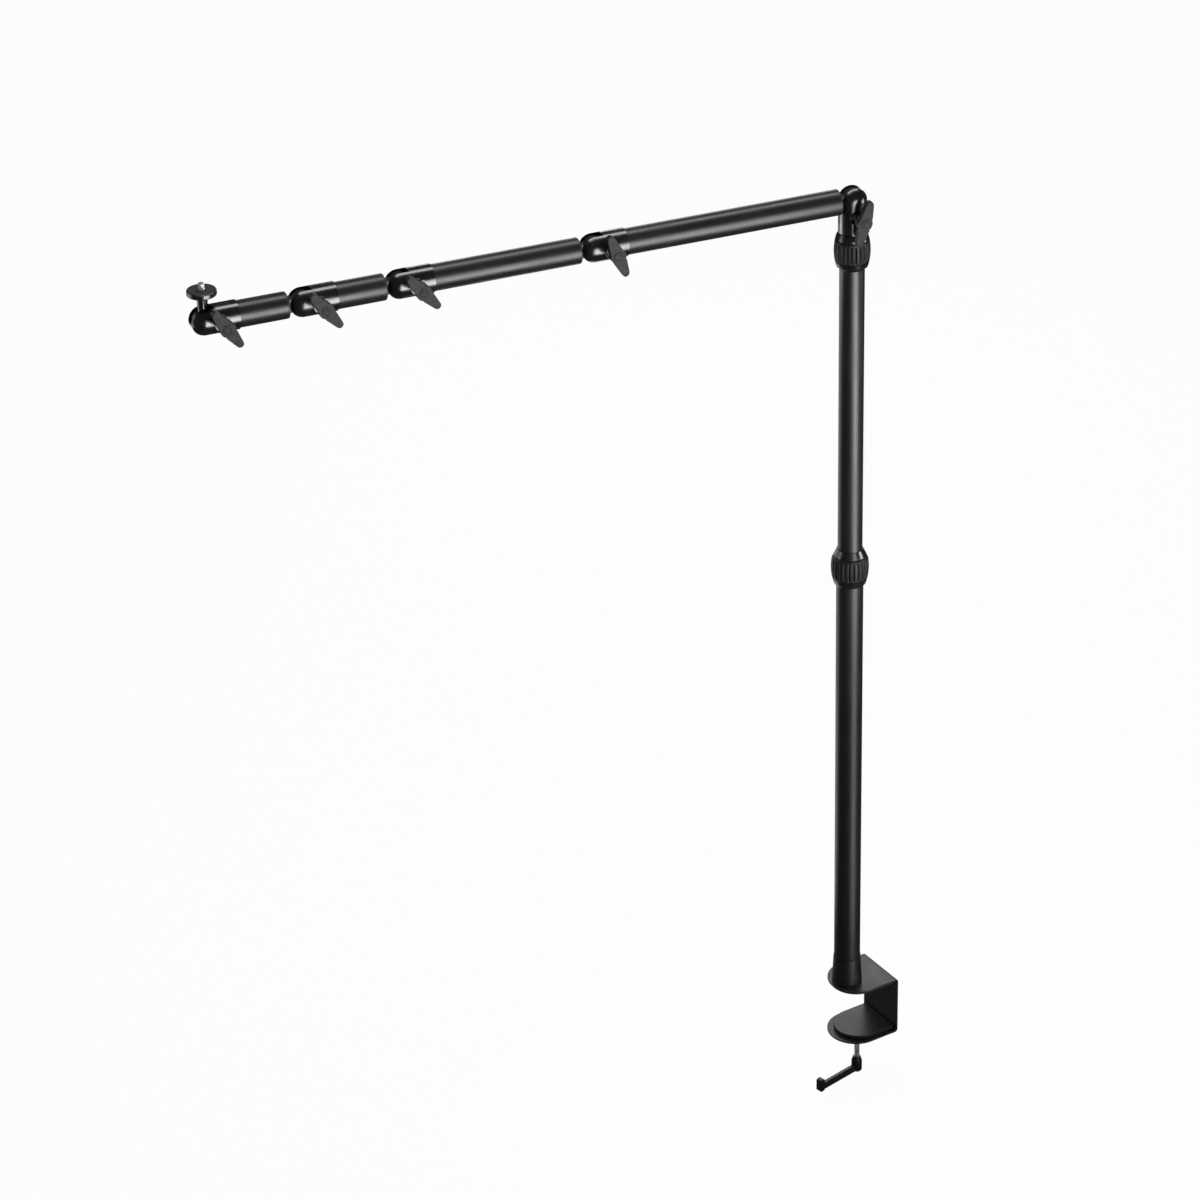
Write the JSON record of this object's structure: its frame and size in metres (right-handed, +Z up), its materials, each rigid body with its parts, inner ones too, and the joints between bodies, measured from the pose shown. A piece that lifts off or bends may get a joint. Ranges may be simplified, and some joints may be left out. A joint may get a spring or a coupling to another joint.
{
  "type": "desk clamp overhead camera arm",
  "caption": "Telescopic column on a desk clamp, with a folding sectioned overhead boom on wing-lever clevis joints and a round camera platform with a screw stud.",
  "frame": {"origin": "on the column axis, on the face of the clamp's upper jaw pad that rests on the desk top", "axes": "+Z up the column, +X from the column to the back of the clamp, so the desk enters from -X; the boom at rest leaves the column 10.4 degrees off -X towards +Y"},
  "size_m": [0.7109, 0.1658, 1.0818],
  "materials": {
    "powder_coat": "matte dark grey powder coat on steel plate",
    "black_anodise": "satin black anodised tube",
    "gloss_black": "glossy black enamel on cast aluminium",
    "grip": "satin black moulded grip",
    "wing_plastic": "matte dark grey moulded nylon",
    "crank_black": "satin black enamel on cast metal",
    "bright_steel": "bright plated screw",
    "dark_steel": "blackened steel",
    "rubber": "matte black rubber",
    "nylon": "grey nylon"
  },
  "bodies": {
    "stand": {"clamp_bracket": "powder_coat", "jaw_pad": "rubber", "column_socket": "black_anodise", "foot_plug": "dark_steel", "foot_screw": "dark_steel", "clamp_nut": "dark_steel", "lower_tube": "black_anodise", "mid_ferrule": "gloss_black"},
    "press": {"pressure_plate": "powder_coat", "swivel_ring": "dark_steel"},
    "screw": {"clamp_screw": "bright_steel", "crank_handle": "crank_black"},
    "collar_a": {"mid_collar": "grip"},
    "collet_a": {"mid_collet": "nylon"},
    "mid_column": {"mid_tube": "black_anodise", "mid_bush": "nylon", "top_ferrule": "gloss_black"},
    "collar_b": {"top_collar": "grip"},
    "collet_b": {"top_collet": "nylon"},
    "head": {"inner_tube": "black_anodise", "inner_bush": "nylon", "head_clevis": "gloss_black", "pin_1": "dark_steel", "bolt_1": "dark_steel"},
    "wing_1": {"lever_1": "wing_plastic"},
    "boom_1": {"plug_1": "gloss_black", "tube_1": "black_anodise", "clevis_1": "gloss_black", "pin_2": "dark_steel", "bolt_2": "dark_steel"},
    "wing_2": {"lever_2": "wing_plastic"},
    "boom_2": {"plug_2": "gloss_black", "tube_2": "black_anodise", "clevis_2": "gloss_black", "pin_3": "dark_steel", "bolt_3": "dark_steel"},
    "wing_3": {"lever_3": "wing_plastic"},
    "boom_3": {"plug_3": "gloss_black", "tube_3": "black_anodise", "clevis_3": "gloss_black", "pin_4": "dark_steel", "bolt_4": "dark_steel"},
    "wing_4": {"lever_4": "wing_plastic"},
    "boom_4": {"plug_4": "gloss_black", "tube_4": "black_anodise", "clevis_4": "gloss_black", "pin_5": "dark_steel", "bolt_5": "dark_steel"},
    "wing_5": {"lever_5": "wing_plastic"},
    "camera_head": {"camera_tongue": "gloss_black", "platform": "gloss_black", "platform_pad": "rubber", "stud": "bright_steel"}
  },
  "joints": [
    {"name": "press_slide", "type": "slide", "parent": "stand", "child": "press", "axis": [0, 0, 1], "range_m": [0, 0.029]},
    {"name": "screw_turn", "type": "hinge", "parent": "press", "child": "screw", "pos_m": [0.014, 0, -0.0637], "axis": [0, 0, 1], "range_deg": [0, 10440]},
    {"name": "collar_a_twist", "type": "hinge", "parent": "stand", "child": "collar_a", "pos_m": [0, 0, 0.496], "axis": [0, 0, 1], "range_deg": [0, 120]},
    {"name": "column_swivel", "type": "hinge", "parent": "stand", "child": "collet_a", "pos_m": [0, 0, 0.496], "axis": [0, 0, 1], "continuous": true},
    {"name": "column_slide", "type": "slide", "parent": "collet_a", "child": "mid_column", "axis": [0, 0, 1], "range_m": [-0.3, 0.04]},
    {"name": "collar_b_twist", "type": "hinge", "parent": "mid_column", "child": "collar_b", "pos_m": [0, 0, 0.8515], "axis": [0, 0, 1], "range_deg": [0, 120]},
    {"name": "head_swivel", "type": "hinge", "parent": "mid_column", "child": "collet_b", "pos_m": [0, 0, 0.8515], "axis": [0, 0, 1], "continuous": true},
    {"name": "head_slide", "type": "slide", "parent": "collet_b", "child": "head", "axis": [0, 0, 1], "range_m": [0, 0.25]},
    {"name": "elbow", "type": "hinge", "parent": "head", "child": "boom_1", "pos_m": [0, 0, 0.9238], "axis": [0.1805, 0.9836, 0], "range_deg": [0, 180]},
    {"name": "wing_1_turn", "type": "hinge", "parent": "head", "child": "wing_1", "pos_m": [0, 0, 0.9093], "axis": [-0.1805, -0.9836, 0], "range_deg": [0, 180]},
    {"name": "wing_2_turn", "type": "hinge", "parent": "boom_1", "child": "wing_2", "pos_m": [-0.25376, 0.04657, 0.9238], "axis": [-0.1805, -0.9836, 0], "range_deg": [0, 180]},
    {"name": "boom_joint_2", "type": "hinge", "parent": "boom_1", "child": "boom_2", "pos_m": [-0.26802, 0.04919, 0.9238], "axis": [0.1805, 0.9836, 0], "range_deg": [-90, 90]},
    {"name": "wing_3_turn", "type": "hinge", "parent": "boom_2", "child": "wing_3", "pos_m": [-0.44703, 0.08205, 0.9238], "axis": [-0.1805, -0.9836, 0], "range_deg": [0, 180]},
    {"name": "boom_joint_3", "type": "hinge", "parent": "boom_2", "child": "boom_3", "pos_m": [-0.4613, 0.08466, 0.9238], "axis": [0.1805, 0.9836, 0], "range_deg": [-90, 90]},
    {"name": "wing_4_turn", "type": "hinge", "parent": "boom_3", "child": "wing_4", "pos_m": [-0.54146, 0.09938, 0.9238], "axis": [-0.1805, -0.9836, 0], "range_deg": [0, 180]},
    {"name": "boom_joint_4", "type": "hinge", "parent": "boom_3", "child": "boom_4", "pos_m": [-0.55572, 0.10199, 0.9238], "axis": [0.1805, 0.9836, 0], "range_deg": [-90, 90]},
    {"name": "wing_5_turn", "type": "hinge", "parent": "boom_4", "child": "wing_5", "pos_m": [-0.63588, 0.11671, 0.9238], "axis": [-0.1805, -0.9836, 0], "range_deg": [0, 180]},
    {"name": "camera_tilt", "type": "hinge", "parent": "boom_4", "child": "camera_head", "pos_m": [-0.65014, 0.11932, 0.9238], "axis": [0.1805, 0.9836, 0], "range_deg": [-180, 0]}
  ],
  "couplings": [
    {"joint": "screw_turn", "follows": "press_slide", "rad_per_m": 6283.2}
  ]
}
